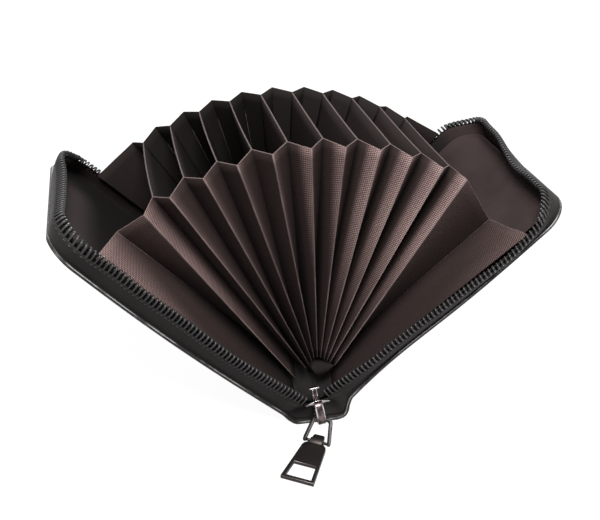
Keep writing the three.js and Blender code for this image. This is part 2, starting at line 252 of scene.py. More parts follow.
def ramp(value, low, high):
    """0 at low, 1 at high and a smooth rise between them."""
    t = np.clip((np.asarray(value, float) - low) / (high - low), 0, 1)
    return t * t * (3 - 2 * t)


def stacked(*parts):
    """Values spread over one grid and joined as its last axis."""
    return np.stack(np.broadcast_arrays(*parts), -1).astype(float)


def back_curl(side, along, across):
    """How far in mm the right cover curls in along its back edge. The left cover lies flat there."""
    deepest = curl_in if side > 0 else 0.0
    return deepest * ramp(across, *curl_across) * ramp(along, *curl_top) * ramp(along, *curl_foot)


def cover_place(side, along, inward, across):
    """Points of a cover in mm: along it from the hinge, inward from its leather, across from the middle.
    The left cover bellies out a little, and the right one bows in near the spine and curls at the back."""
    if side < 0:
        belly = -belly_out * np.sin(np.pi * np.clip(along, 0, belly_run) / belly_run)
    else:
        belly = bow_in * np.exp(-((np.asarray(along) - bow_middle) / bow_run) ** 2)
    deep = inward + belly + back_curl(side, along, across)
    out = hinge_out + along * lean_sin - deep * lean_cos
    up = hinge_up + along * lean_cos + deep * lean_sin
    return stacked(side * out, across, up)


def finished(name, points, faces, material, sharp=40, maps=()):
    """A piece from points in mm, faces and UV maps, with its faces turned outwards and all but its sharp
    edges smoothed."""
    mesh = bpy.data.meshes.new(name)
    mesh.from_pydata((points * MM).reshape(-1, 3).tolist(), [], faces)
    for label, grid in dict(maps).items():
        layer = mesh.uv_layers.new(name=label)
        layer.data.foreach_set("uv", np.asarray(grid, float).reshape(-1, 2)[np.ravel(faces)].ravel())
    piece = bpy.data.objects.new(name, mesh)
    bpy.context.scene.collection.objects.link(piece)
    bpy.ops.object.select_all(action="DESELECT")
    piece.select_set(True)
    bpy.context.view_layer.objects.active = piece
    bpy.ops.object.mode_set(mode="EDIT")
    bpy.ops.mesh.select_all(action="SELECT")
    bpy.ops.mesh.normals_make_consistent(inside=False)
    bpy.ops.object.mode_set(mode="OBJECT")
    bpy.ops.object.shade_smooth_by_angle(angle=math.radians(sharp))
    piece.select_set(False)
    mesh.materials.append(material)
    return piece


def tube_faces(count, around):
    """The faces of a tube through rings of points, capped at both ends."""
    at = np.arange(count * around).reshape(count, around)
    after = np.roll(at, -1, axis=1)
    faces = np.stack([at[:-1], after[:-1], after[1:], at[1:]], -1).reshape(-1, 4).tolist()
    return faces + [at[0].tolist(), at[-1][::-1].tolist()]


def closed_loft(name, rings, material):
    """A closed body through rings of points in mm."""
    return finished(name, rings, tube_faces(*rings.shape[:2]), material)


face_points = 40
bead_points = 11
bead_turn = 80
groove_depth = 0.34
groove_turn = 0.22


def leather_ring(middle, normal, half_width, half_thick, shift=0):
    """One section across a leather panel: flat faces, and an edge of two beads with a groove between.
    Its middle may be shifted across."""
    flat = np.linspace(-1, 1, face_points) * (half_width - half_thick)
    turn = np.radians(np.linspace(bead_turn, -bead_turn, bead_points))
    reach = half_thick * (1 - groove_depth * np.exp(-(turn / groove_turn) ** 2))
    edge = half_width - half_thick + reach * np.cos(turn)
    rise = reach * np.sin(turn)
    across = np.concatenate([flat, edge, flat[::-1], -edge[::-1]])
    high = np.concatenate([0 * flat + half_thick, rise, 0 * flat - half_thick, rise[::-1]])
    return stacked(middle[0] + normal[0] * high, across + shift, middle[1] + normal[1] * high)


black_leather, handle = new_finish("black_leather")
where = handle.place()
pebbles = handle.node("ShaderNodeTexVoronoi", {"feature": "DISTANCE_TO_EDGE"},
                      {"Vector": where, "Scale": 1500.0, "Randomness": 0.9})
cloudy = handle.noise(where, 55.0, 4.0)
fine = handle.noise(where, 2600.0, 3.0)
grain = handle.ease(pebbles, 0.0, 0.22) * 0.8 + fine * 0.35
set_shader(black_leather, {
    "Base Color": handle.blend(cloudy, (0.0180, 0.0158, 0.0157), (0.0345, 0.0300, 0.0296)),
    "Roughness": 0.44 + cloudy * 0.16 - grain * 0.05,
    "Specular IOR Level": 0.06,
    "Normal": handle.relief(grain, 0.22, 0.00012),
})
edge_paint, handle = new_finish("edge_paint")
where = handle.place()
rubbed = handle.node("ShaderNodeTexNoise", (),
                     {"Vector": where, "Scale": 260.0, "Detail": 5.0, "Roughness": 0.65})
worn = handle.ease(rubbed, 0.50, 0.66)
set_shader(edge_paint, {
    "Base Color": handle.blend(worn, (0.010, 0.0095, 0.0095), (0.07, 0.067, 0.067)),
    "Roughness": 0.30 + rubbed * 0.2,
    "Specular IOR Level": 0.35,
    "Normal": handle.relief(rubbed, 0.25, 0.0001),
})
# The inner bead's pale line is partly rubbed wear and partly a painted highlight.
rubbed_edge_and_highlight, handle = new_finish("rubbed_edge_and_highlight")
where = handle.place()
stretch = handle.noise(where, 75.0, 3.0)
fleck = handle.noise(where, 420.0, 3.0)
worn = handle.ease(stretch, 0.42, 0.56) * (0.4 + fleck * 0.9)
set_shader(rubbed_edge_and_highlight, {
    "Base Color": handle.blend(worn, (0.014, 0.013, 0.013), (0.30, 0.29, 0.288)),
    "Roughness": 0.34 + fleck * 0.2,
    "Specular IOR Level": 0.35,
    "Normal": handle.relief(fleck, 0.2, 0.00008),
})


def paint_rim(piece, sections, capped):
    """Gives the faces round a leather panel's edge the edge paint, and those of its last sections too.
    The bead on the inner side is rubbed pale, partly wear and partly a painted highlight."""
    around = 2 * (face_points + bead_points)
    place = np.arange(len(piece.data.polygons))
    column = place % around
    rim = (column >= face_points - 1) & (column < face_points + bead_points)
    rim |= column >= 2 * face_points + bead_points - 1
    rim |= place >= (sections - 1 - capped) * around
    bead = np.isin(column, (face_points + 1, face_points + 2, around - 4, around - 3))
    piece.data.materials.append(edge_paint)
    piece.data.materials.append(rubbed_edge_and_highlight)
    piece.data.polygons.foreach_set("material_index", np.where(bead, 2, rim).astype(np.int32))


bend_line = {-1: [(-5.5, spine_middle), (-7.4, 0.9), (-9.3, 2.2)],
             1: [(6.0, spine_middle), (8.6, 0.8), (10.7, 1.7), (11.7, 3.7), (12.0, 6.3)]}
bend_end = {-1: 3.0, 1: 6.0}
bend_steps = 14
back_radius = {-1: 14.0, 1: corner_radius}
wrap_line = {}
cover_leather = {}
for side, word in sides:
    joins = cover_place(side, np.array([0, 3, 6]) + bend_end[side], 0, 0)[:, [0, 2]]
    knots = np.concatenate([bend_line[side], joins])
    run = np.concatenate([[0], np.cumsum(np.linalg.norm(np.diff(knots, axis=0), axis=1))])
    steps = np.linspace(0, run[-3], bend_steps)
    bend = stacked(*(smooth_through(steps, run, line) for line in knots.T))
    round_corner = np.radians(np.linspace(0, 66, 9))
    last = np.radians([0, 25, 50, 70, 84])
    straight_end = cover_length - corner_radius
    along = np.concatenate([np.linspace(bend_end[side] + 3, straight_end, 26),
                            straight_end + corner_radius * np.sin(round_corner[1:]),
                            cover_length - leather_half * (1 - np.sin(last))])
    flat_cover = cover_place(side, along, 0, 0)[:, [0, 2]]
    wrap_line[side] = np.concatenate([bend, flat_cover])
    tangent = np.gradient(wrap_line[side], axis=0)
    tangent /= np.linalg.norm(tangent, axis=1)[:, None]
    inward = stacked(-side * tangent[:, 1], side * tangent[:, 0])
    reach = []
    for radius in (corner_radius, back_radius[side]):
        into_corner = np.clip(along - cover_length + radius, 0, radius)
        edge = case_half - radius + np.sqrt(radius ** 2 - into_corner ** 2)
        reach.append(np.concatenate([np.full(len(bend), case_half), edge]))
    width = (reach[0] + reach[1]) / 2
    shift = (reach[1] - reach[0]) / 2
    thick = np.full(len(width), leather_half)
    thick[-len(last):] = leather_half * np.maximum(np.cos(last), 0.12)
    sections = zip(wrap_line[side], inward, width, thick, shift)
    rings = np.array([leather_ring(*section) for section in sections])
    curl = back_curl(side, np.concatenate([0 * bend[:, 0], along])[:, None], rings[:, :, 1])
    rings += curl[:, :, None] * np.array((-side * lean_cos, 0, lean_sin))
    cover_leather[side] = closed_loft(f"{word}_cover_leather_skin", rings, black_leather)
    paint_rim(cover_leather[side], len(rings), len(last) - 1)
    start = Vector((bend[0][0] * MM, 0, bend[0][1] * MM))
    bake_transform(cover_leather[side], "spine", f"{word}_cover", start, Vector(cover_place(side, 9, 0, 0) * MM))
    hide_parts(f"{word}_cover_leather", f"{word}_cover_board")

across_spine = np.linspace(bend_line[-1][0][0] - 0.2, bend_line[1][0][0] + 0.2, 9)
rings = np.array([leather_ring((x, spine_middle), (0, 1), case_half, leather_half - 0.02)
                  for x in across_spine])
spine_skin = closed_loft("spine_leather_skin", rings, black_leather)
paint_rim(spine_skin, len(rings), 0)
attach(spine_skin, "spine")
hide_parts("spine_leather")

# Zip walls: a strip of the same leather stands round three sides of each cover and carries the zip.
# It is sewn to the cover at its foot and leans as the zip pulls it, most at the right front corner.
wall_inset = 1.9
wall_flush = 1.0
wall_half = 0.5
wall_high = 6.3
wall_gap = 1.2
wall_step = 1.6
path_front = cover_length - corner_radius
path_corner = (corner_radius - wall_inset) * math.pi / 2
path_side = 2 * (case_half - corner_radius)
path_whole = 2 * path_front + 2 * path_corner + path_side
wall_lean = {
    -1: ((-10, 6, 22, 37, 59, 76, 87, 97, 105, 119, 135, 148, 156, 161, 165, 170, 177, 185, 190,
          205, 230, 285),
         (12, 17, 24, 28, 20, 23, 21, 26, 29, 27.5, 26, 27, 29, 21, -4, -19, -24, -23, -20, -12, -6, 2)),
    1: ((-10, 1, 12, 22, 35, 53, 70, 82, 91, 98, 102, 109, 119, 131, 142, 154, 166, 176, 190, 230, 285),
        (5, 8, 25, 36, 37.5, 41, 46.5, 53, 48.5, 38, 17, -3.4, -6, -9.5, 2.3, 17.4, 22, 30, 30, 18, 4)),
}
coil_bend = {-1: ((80, 98, 112, 142, 154, 162), (0, 16, 37, 36, 14, 0)), 1: ((0, 285), (0, 0))}
coil_bend_high = (5.6, 7.2)
corner_pull = {-1: 1.5, 1: 0.0}
corner_pull_at = 173.0
corner_pull_run = 9.0


def rim_place(run):
    """A place round the wall's foot, run mm from the front hinge: along and across the cover, and the turn.
    At the free end the wall stands nearly flush with the cover's edge."""
    radius = corner_radius - wall_inset
    first = np.clip(run - path_front, 0, path_corner) / radius
    straight = np.clip(run - path_front - path_corner, 0, path_side)
    second = np.clip(run - path_front - path_corner - path_side, 0, path_corner) / radius
    back = np.clip(run - path_front - 2 * path_corner - path_side, 0, None)
    along = np.clip(run, None, path_front) + radius * (np.sin(first) - 1 + np.cos(second)) - back
    across = -(case_half - wall_inset) + radius * (1 - np.cos(first) + np.sin(second)) + straight
    return along + wall_flush * np.sin(first + second), across, first + second


def wall_place(side, run, out, high):
    """Points of the leaning wall in mm: out from its middle, and high above the cover's leather.
    Above the leather the coil may bend in, and the left wall's foot is pulled in at the back corner."""
    along, across, turn = rim_place(run)
    lean = np.radians(smooth_through(run, *wall_lean[side]))
    bend = np.radians(smooth_through(run, *coil_bend[side])) * ramp(high, *coil_bend_high)
    past = high - wall_high
    high = wall_high + past * np.cos(bend) + out * np.sin(bend)
    out = out * np.cos(bend) - past * np.sin(bend)
    pull = corner_pull[side] * np.exp(-((run - corner_pull_at) / corner_pull_run) ** 2)
    over = out * np.cos(lean) + high * np.sin(lean) - pull
    up = high * np.cos(lean) - out * np.sin(lean)
    return cover_place(side, along + over * np.sin(turn), leather_half + up, across - over * np.cos(turn))


def wall_body(name, side, section, material):
    """A strip that follows the wall, from its section as points out and high."""
    stop = path_whole - wall_gap
    run = np.concatenate([np.arange(wall_gap, stop - 0.5, wall_step), [stop]])
    out, high = np.array(section).T
    return closed_loft(name, wall_place(side, run[:, None], out[None], high[None]), material)


top_turn = np.radians(np.linspace(0, 180, 7))
wall_top = zip(wall_half * np.cos(top_turn), wall_high + wall_half * np.sin(top_turn))
wall_section = [(wall_half + 0.35, -0.25), (wall_half + 0.2, 0.3), (wall_half + 0.25, 1.5),
                (wall_half + 0.35, 3.2), (wall_half + 0.2, 5.0), *wall_top,
                (-wall_half, 3.4), (-wall_half, -0.25)]
for side, word in sides:
    wall = wall_body(f"{word}_zip_wall_skin", side, wall_section, black_leather)
    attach(wall, f"{word}_cover")
    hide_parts(f"{word}_zip_wall")

# Gores: soft leather that closes the spine's ends between the two walls, dimpled where it folds in.
# Each half laps over the end of a wall and is sewn to the spine.
ends = ((-1, "front"), (1, "back"))
gore_points = 9
gore_lap = np.array((1.0, 5.5))
gore_hollow = 1.8
gore_thick = 0.8


def sheet_faces(count, across):
    """The faces between neighbouring points of an open grid."""
    at = np.arange(count * across).reshape(count, across)
    return np.stack([at[:-1, :-1], at[1:, :-1], at[1:, 1:], at[:-1, 1:]], -1).reshape(-1, 4).tolist()


def bowed(part, first, middle, last):
    """Points along a bow from first to last that is drawn towards middle."""
    return (1 - part) ** 2 * first + 2 * part * (1 - part) * middle + part ** 2 * last


def shape_with(piece, kind, **settings):
    """Adds a modifier to a piece and applies it."""
    modifier = piece.modifiers.new(kind.title(), kind)
    for key, value in settings.items():
        setattr(modifier, key, value)
    bpy.context.view_layer.objects.active = piece
    bpy.ops.object.modifier_apply(modifier=modifier.name)


for end, word_end in ends:
    for side, word in sides:
        share_up = np.linspace(0, 1, gore_points)
        run = gore_lap if end < 0 else path_whole - gore_lap
        inner = stacked(-side * 0.15, end * (37.3 - 0.6 * share_up), 1.2 + 7.2 * share_up)
        turned = wall_place(side, 0 * share_up + run[0], 0.45, share_up * (wall_high - 0.2))
        lapped = wall_place(side, 0 * share_up + run[1], wall_half - 0.25,
                            0.1 + share_up * (wall_high - 0.9))
        part = np.linspace(0, 1, 13)[:, None, None]
        rows = bowed(part, inner, 2 * turned - 0.5 * (inner + lapped), lapped)
        trough = wrap_line[side][:bend_steps]
        reach = np.abs(trough[:, 0]).argsort()
        under = np.interp(np.abs(rows[:, 0, 0]), np.abs(trough[reach, 0]), trough[reach, 1] + 0.5)
        drop = (rows[:, 0, 2] - np.minimum(under, rows[:, 0, 2]))[:, None]
        rows[:, :, 2] -= drop * (1 - share_up[None]) ** 2
        hollow = np.sin(np.pi * np.clip(part[:, 0] / 0.6, 0, 1))
        rows[:, :, 1] -= end * gore_hollow * hollow * np.sin(np.pi * np.clip(share_up * 0.9 + 0.1, 0, 1))
        gore = finished(f"gore_{word_end}_{word}_half", rows, sheet_faces(*rows.shape[:2]), black_leather)
        shape_with(gore, "SOLIDIFY", thickness=gore_thick * MM, offset=0)
        shape_with(gore, "SUBSURF", levels=1, render_levels=1)
        Vector(cover_place(side, -4.0, 3.0, 0) * MM)
        Vector(cover_place(side, 1.2, 3.0, 0) * MM)
        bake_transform(gore)
        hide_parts(f"gore_{word_end}")

# Stitching: black waxed thread. One row holds the zip tape to the wall, and one holds the wall to the cover.
# Each stitch sinks a little into the leather at its ends.
black_thread, handle = new_finish("black_thread")
where = handle.place()
twist = handle.node("ShaderNodeTexWave", {"bands_direction": "DIAGONAL"}, {"Vector": where, "Scale": 900.0})
set_shader(black_thread, {
    "Base Color": handle.blend(twist, (0.008, 0.0075, 0.0075), (0.024, 0.022, 0.022)),
    "Roughness": 0.5 + twist * 0.15,
    "Normal": handle.relief(twist, 0.5, 0.00008),
})
stitch_half = (0.22, 0.24, 0.55)
stitch_pitch = 1.75
stitch_start = 8
wall_row_high = 6.0
cover_row_in = 0.7
bpy.ops.mesh.primitive_uv_sphere_add(segments=6, ring_count=4, radius=1.0)
pattern = bpy.context.object
stitch_points = np.array([vertex.co for vertex in pattern.data.vertices]) * stitch_half
stitch_faces = [list(face.vertices) for face in pattern.data.polygons]
bpy.data.objects.remove(pattern)


def repeated(name, places, faces, material):
    """One mesh of many copies of a small shape: places holds each copy's points in mm."""
    count, each = places.shape[:2]
    every = [[k * each + i for i in face] for k in range(count) for face in faces]
    return finished(name, places, every, material, 180)


for side, word in sides:
    wide, high, long = stitch_points.T[:, None]
    run = np.arange(stitch_start, path_whole - stitch_start, stitch_pitch)[:, None] + long
    on_wall = wall_place(side, run, wall_half + high, wall_row_high + wide)
    along, across, turn = rim_place(run)
    over = wide - cover_row_in
    on_cover = cover_place(side, along + over * np.sin(turn), high - leather_half - 0.02,
                           across - over * np.cos(turn))
    stitches = repeated(f"{word}_cover_stitching", np.concatenate([on_wall, on_cover]), stitch_faces,
                        black_thread)
    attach(stitches, f"{word}_cover")

# Cover linings: brown cloth glued over each cover's stiffener and up the inside of its wall.
# It lies smooth, with the shallow waves of glued cloth, and turns up where it meets the wall.
# The linings' colour holds painted shade, dark deep in each cover and in the walls' back corners, and painted
# light: the left lining takes a tone of its own for how it is lit.
lining_inset = 2.9
lining_half = case_half - lining_inset
lining_top = cover_length - 2.0
lining_corner = corner_radius - lining_inset
lining_lift = 2.3
turn_up = 1.6
turn_up_run = 1.5
facing_in = 1.2
lining_points = 36


def cloth(name, rows, maps, material, thickness=0.3):
    """Thin cloth through rows of points in mm, and its area in square metres. Of its maps, laid is where the
    weave lies, and edge how far it is to a worn fold and to the free edge, all in mm. shade holds painted light
    and shade: on a lining how dark it is painted and whether it takes its own lit tone, on a pleat how dark the
    panel is painted and how high up the place is."""
    faces = sheet_faces(*rows.shape[:2])
    corner = (rows * MM).reshape(-1, 3)[np.array(faces)]
    twice_area = np.cross(corner[:, 2] - corner[:, 0], corner[:, 3] - corner[:, 1])
    piece = finished(name, rows, faces, material, maps=maps)
    shape_with(piece, "SOLIDIFY", thickness=thickness * MM, offset=0)
    return piece, float(0.5 * np.linalg.norm(twice_area, axis=1).sum())


lining_cloth, handle = new_finish("lining_cloth")
where = handle.place("laid")
thread_pitch = 0.62
warp, weft = [handle.maths("COSINE", thread_at * (2 * math.pi / thread_pitch)) * 0.5 + 0.5
              for thread_at in handle.pair("laid")]
weave = warp * weft
patchy = handle.noise(where, 0.045, 3.0)
slub = handle.noise(where, 0.9, 2.0)
# Painted shade and light: the shade map's first value darkens the cloth towards near black where shade falls,
# and its second gives the left lining a tone of its own for how it is lit.
deep, painted_lit_tone = handle.pair("shade")
tone = handle.blend(handle.ease(patchy, 0.3, 0.7), (0.048, 0.0345, 0.0335), (0.069, 0.050, 0.0485))
tone = handle.blend(painted_lit_tone, tone, (0.053, 0.0405, 0.0420))
tone = handle.blend(weave * 0.55 + slub * 0.2, handle.blend(0.4, tone, (0.014, 0.011, 0.0105)), tone)
set_shader(lining_cloth, {
    "Base Color": handle.blend(deep * 0.94, tone, (0.0085, 0.008, 0.0075)),
    "Roughness": 0.78 + slub * 0.15,
    "Specular IOR Level": 0.03,
    "Normal": handle.relief(weave, 0.35, 0.00008),
})
for side, word in sides:
    corner_turn = np.radians(np.linspace(0, 90, 12))
    corner_start = lining_top - lining_corner
    along = np.concatenate([np.linspace(2.5, corner_start, 44),
                            corner_start + lining_corner * np.sin(corner_turn[1:])])
    into_corner = np.clip(along - corner_start, 0, lining_corner)
    width = lining_half - lining_corner + np.sqrt(np.maximum(lining_corner ** 2 - into_corner ** 2, 0))
    share = np.sin(np.linspace(-np.pi / 2, np.pi / 2, lining_points))
    across = width[:, None] * share[None]
    along = np.repeat(along[:, None], lining_points, axis=1)
    near_wall = np.minimum(width[:, None] * (1 - np.abs(share))[None], lining_top - along)
    waves = (0.18 * np.sin(along / 9.5 + 0.6 + side) * np.sin(across / 11.0 + 0.9)
             + 0.10 * np.sin(along / 5.1 + across / 6.7))
    inward = (lining_lift + waves * np.clip(near_wall / 6, 0, 1)
              + turn_up * np.exp(-(near_wall / turn_up_run) ** 2))
    rows = cover_place(side, along, inward, across)
    # Painted shade: the left lining is dark but for a strip along its free end and its front edge, and the right
    # one darkens towards the spine and along its back edge.
    if side < 0:
        deep = 1 - np.maximum(ramp(along, 86, 101) * ramp(across, 26, 12), 0.9 * ramp(across, -17, -33))
    else:
        deep = np.maximum(ramp(along, 84, 62), 0.9 * ramp(across, 16, 34) * ramp(along, 100, 78))
    maps = {"laid": stacked(across, along), "shade": stacked(deep, side < 0)}
    panel, panel_area = cloth(f"{word}_cover_lining_cloth", rows, maps, lining_cloth)
    run = np.linspace(1.5, path_whole - 1.5, 150)[:, None]
    high = np.linspace(0.9, 7.5, 7)[None]
    rows = wall_place(side, run, -facing_in, high)
    # Painted shade on the walls' facings, from near the back corner along the back.
    deep = 0.6 * ramp(run, 150, 172) if side < 0 else ramp(run, 172, 192)
    maps = {"laid": stacked(run, high), "shade": stacked(deep, 0 * high)}
    facing, facing_area = cloth(f"{word}_wall_lining_cloth", rows, maps, lining_cloth)
    for piece, area, flat in ((panel, panel_area, (0.0722, 0.1045)),
                              (facing, facing_area, (0.282, 0.0105))):
        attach(piece, f"{word}_cover")
    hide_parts(f"{word}_cover_lining")

# Zip tape: a narrow band of black polyester, woven, that carries the teeth.
# It is sewn inside the wall, and little of it shows under the teeth.
zip_tape, handle = new_finish("zip_tape")
where = handle.place()
threads = handle.node("ShaderNodeTexWave", {"bands_direction": "DIAGONAL"},
                      {"Vector": where, "Scale": 900.0, "Distortion": 3.0})
set_shader(zip_tape, {
    "Base Color": handle.blend(threads, (0.007, 0.006, 0.006), (0.014, 0.012, 0.0115)),
    "Roughness": 0.8 + threads * 0.1,
    "Specular IOR Level": 0.15,
    "Normal": handle.relief(threads, 0.2, 0.00005),
})
tape_section = [(-0.52, 3.4), (-0.5, 7.9), (-1.0, 7.9), (-1.02, 3.4)]
for side, word in sides:
    tape = wall_body(f"{word}_zip_tape_band", side, tape_section, zip_tape)
    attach(tape, f"{word}_cover")
    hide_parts(f"{word}_zip_tape")

# Zip coil: black nylon wire wound into hairpin teeth along the tape's edge.
# Each tooth climbs the outside of the tape, turns over its edge and comes down inside, and leans as wound.
tooth_pitch = 1.75
tooth_line = np.array([(0.36, 6.1), (0.40, 6.8), (0.28, 7.6), (0.08, 8.6), (-0.17, 9.35), (-0.75, 9.75),
                       (-1.33, 9.35), (-1.55, 8.6), (-1.5, 7.6)])
tooth_fat = np.array([0.14, 0.25, 0.33, 0.38, 0.44, 0.46, 0.44, 0.38, 0.32])
black_nylon, handle = new_finish("black_nylon")
where = handle.place()
scuff = handle.noise(where, 700.0, 3.0)
shade = handle.noise(where, 35.0, 2.0)
set_shader(black_nylon, {
    "Base Color": handle.blend(shade, (0.014, 0.0133, 0.0135), (0.036, 0.0335, 0.034)),
    "Roughness": 0.30 + scuff * 0.16,
    "Specular IOR Level": 0.4,
    "Normal": handle.relief(scuff, 0.12, 0.00005),
})
heading = np.gradient(tooth_line, axis=0)
heading /= np.linalg.norm(heading, axis=1)[:, None]
ring_turn = np.radians(np.arange(6) * 60 + 30)
tooth_out = tooth_line[:, None, 0] + tooth_fat[:, None] * np.sin(ring_turn)[None] * heading[:, None, 1]
tooth_high = tooth_line[:, None, 1] - tooth_fat[:, None] * np.sin(ring_turn)[None] * heading[:, None, 0]
tooth_run = np.linspace(-0.35, 0.35, 9)[:, None] + 0.95 * tooth_fat[:, None] * np.cos(ring_turn)[None]
tooth_faces = tube_faces(*tooth_out.shape)
for side, word in sides:
    every = np.linspace(1.0, path_whole - 1.0, 900)
    steps = np.linalg.norm(np.diff(wall_place(side, every, -0.75, 9.0), axis=0), axis=1)
    gone = np.concatenate([[0], np.cumsum(steps)])
    start = np.interp(np.arange(0, gone[-1], tooth_pitch), gone, every)[:, None]
    places = wall_place(side, start + tooth_run.reshape(1, -1), tooth_out.reshape(1, -1),
                        tooth_high.reshape(1, -1))
    coil = repeated(f"{word}_zip_coil_teeth", places, tooth_faces, black_nylon)
    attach(coil, f"{word}_cover")
    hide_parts(f"{word}_zip_coil")

# Leaves: ten stiff dividers faced with plain brown cloth, sewn at the foot and free at the top.
# The cut edges have worn pale, which draws a thin light line along each one.
apex_up = 11.0
leaf_foot = 10.0
leaf_reach = 95.0
leaf_half = 23.7
leaf_clear = 0.2
leaf_thick = 0.42
shaded_leaves = 4
leaf_angle = [math.degrees(math.atan2(joint["pos_m"][0], joint["pos_m"][2] - apex_up * MM))
              for name, joint in joints.items() if name.startswith("leaf_")]


def smooth_cloth(name, low, high, creased):
    """Plain close-woven cloth between two tones. Its free edge has worn pale, and where creased its fold has a
    pale line, partly wear and partly painted highlight.
    """
    material, handle = new_finish(name)
    where = handle.place("laid")
    to_fold, to_edge = handle.pair("edge")
    slub = handle.noise(where, 0.9, 2.0)
    patchy = handle.noise(where, 0.05, 3.0)
    long_crease = handle.ease(to_edge, 7.0, 11.0) * handle.ease(to_edge, 36.0, 24.0)
    # Where creased, a pale line along the fold: partly wear and partly painted highlight.
    crease = handle.ease(to_fold, 0.5, 0.15) * long_crease
    tone = handle.blend(patchy * 0.8 + slub * 0.3, low, high)
    tone = handle.blend(handle.ease(to_edge, 0.34, 0.12), tone, (0.125, 0.099, 0.095))
    set_shader(material, {
        "Base Color": handle.blend(crease * creased, tone, (0.40, 0.33, 0.315)),
        "Roughness": 0.75 + slub * 0.15,
        "Specular IOR Level": 0.03,
        "Normal": handle.relief(slub, 0.15, 0.00006),
    })
    return material


leaf_cloth = smooth_cloth("leaf_cloth", (0.017, 0.0128, 0.0122), (0.030, 0.0228, 0.0218), 0.0)
shaded_leaf = smooth_cloth("shaded_leaf", (0.0105, 0.0090, 0.0083), (0.0175, 0.0148, 0.0138), 0.0)


def fan_place(angle, radius, across):
    """Points of the fan in mm, by their angle from upright, their distance from the fan's centre, and y."""
    turn = np.radians(angle)
    return stacked(radius * np.sin(turn), across, apex_up + radius * np.cos(turn))


bow = np.random.default_rng(7).uniform(-0.55, 0.05, 40)
for i, angle in enumerate(leaf_angle):
    share = np.linspace(0, 1, 20)[:, None]
    across = np.linspace(-leaf_half, leaf_half, 15)[None]
    radius = leaf_foot + leaf_clear + (leaf_reach - leaf_foot - leaf_clear) * share
    sway = 1 - (across / leaf_half) ** 2
    shift = bow[i] * np.sin(np.pi * share) * (0.6 + 0.4 * np.cos(across / 14))
    shift = shift + 1.4 * bow[i + 12] * sway * share ** 3
    turn = math.radians(angle)
    rows = fan_place(angle, radius, across) + shift[:, :, None] * (math.cos(turn), 0, -math.sin(turn))
    maps = {"laid": stacked(across, radius), "edge": stacked(0 * across + 50, leaf_reach - radius)}
    name = f"leaf_{i + 1:02d}"
    leaf, area = cloth(f"{name}_cloth", rows, maps, shaded_leaf if i < shaded_leaves else leaf_cloth,
                       leaf_thick)
    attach(leaf, name)
    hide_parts(name)

# Gussets: brown ribbed cloth, plain on its back, folded into a pleat between each two leaves at both ends.
# A pleat is sewn along the leaves' edges, and its ridge, rubbed pale, stands out between them.
# Its cloth is painted with light beside the ridge and high up, and with shade in the valley and at the foot.
gusset_half = 24.0
pleat_foot = 10.8
pleat_depth = 7.7
pleat_thick = 0.28
pleat_foot_depth = 9.5
front_feet = [(-7.3, 17.4), (-3.4, 21.3), (-2.2, 22.7), (-1.3, 24.4), (-0.4, 25.3), (0.8, 25.5), (2.0, 25.2),
              (3.3, 24.3), (4.4, 23.4), (5.6, 22.6), (7.5, 21.2)]
# The pockets' inner cloths are darker copies of the leaf cloth, painted shade inside the pockets, darker still
# in the first four.
shaded_pocket_cloth = smooth_cloth("shaded_pocket_cloth", (0.0160, 0.0135, 0.0126), (0.0245, 0.0208, 0.0196), 0.0)
shaded_creased_pocket = smooth_cloth("shaded_creased_pocket", (0.0100, 0.0088, 0.0080), (0.0155, 0.0134, 0.0124), 0.9)
ribbed_cloth, handle = new_finish("ribbed_cloth")
where = handle.place("laid")
warp_pitch = 0.74
weft_pitch = 0.66
warp_at, weft_at = handle.pair("laid")
to_fold, to_edge = handle.pair("edge")
painted_depth, height = handle.pair("shade")
warp = handle.ease(handle.maths("COSINE", warp_at * (2 * math.pi / warp_pitch)), -0.55, 0.6)
weft = handle.ease(handle.maths("COSINE", weft_at * (2 * math.pi / weft_pitch)), -0.4, 0.5)
slub = handle.noise(where, 1.1, 2.0)
patchy = handle.noise(where, 0.06, 3.0)
knot = (0.3 + warp * 0.7) * (0.15 + weft * 0.85)
# Painted light and shade: from the shade map the cloth turns light beside the ridge and high up, dark in the
# valley and towards the foot, and takes a painted highlight where the map runs below zero.
painted_light_share = handle.ease(painted_depth, 0.95, -0.05) * (0.08 + handle.ease(height, 0.12, 0.75) * 0.92)
painted_light_share = painted_light_share * (0.75 + patchy * 0.5)
painted_valley_dark = handle.blend(knot * 0.2 + slub * 0.5, (0.0182, 0.0123, 0.0112), (0.040, 0.0262, 0.0243))
painted_ridge_light = handle.blend(knot * 0.9 + slub * 0.1, (0.033, 0.0214, 0.0199), (0.335, 0.225, 0.213))
tone = handle.blend(painted_light_share, painted_valley_dark, painted_ridge_light)
painted_highlight = handle.ease(painted_depth, 0.0, -1.0) * handle.ease(height, 0.3, 0.8) * knot * 0.7
tone = handle.blend(painted_highlight, tone, (0.55, 0.387, 0.368))
painted_gloom = handle.maths("MAXIMUM", handle.ease(height, 0.7, 0.1) * 0.3,
                     handle.ease(painted_depth, 0.95, 1.9) * 0.84)
tone = handle.blend(painted_gloom, tone, (0.0035, 0.0028, 0.0026))
rubbed_fold = handle.ease(to_fold, 0.5, 0.12) * (0.45 + handle.ease(patchy, 0.42, 0.66) * 0.45)
worn = handle.maths("MAXIMUM", rubbed_fold, handle.ease(to_edge, 0.34, 0.12) * 0.7)
set_shader(ribbed_cloth, {
    "Base Color": handle.blend(worn, tone, (0.20, 0.149, 0.141)),
    "Roughness": 0.72 + slub * 0.18,
    "Specular IOR Level": 0.1,
    "Normal": handle.relief(knot, 0.5, 0.00014),
})


def fold_line(angle, end, stand_out_foot, stand_out_top, reach=leaf_reach):
    """One fold of a gusset: its foot and its top."""
    return (fan_place(angle, pleat_foot, end * (gusset_half + stand_out_foot)),
            fan_place(angle, reach, end * (gusset_half + stand_out_top)))


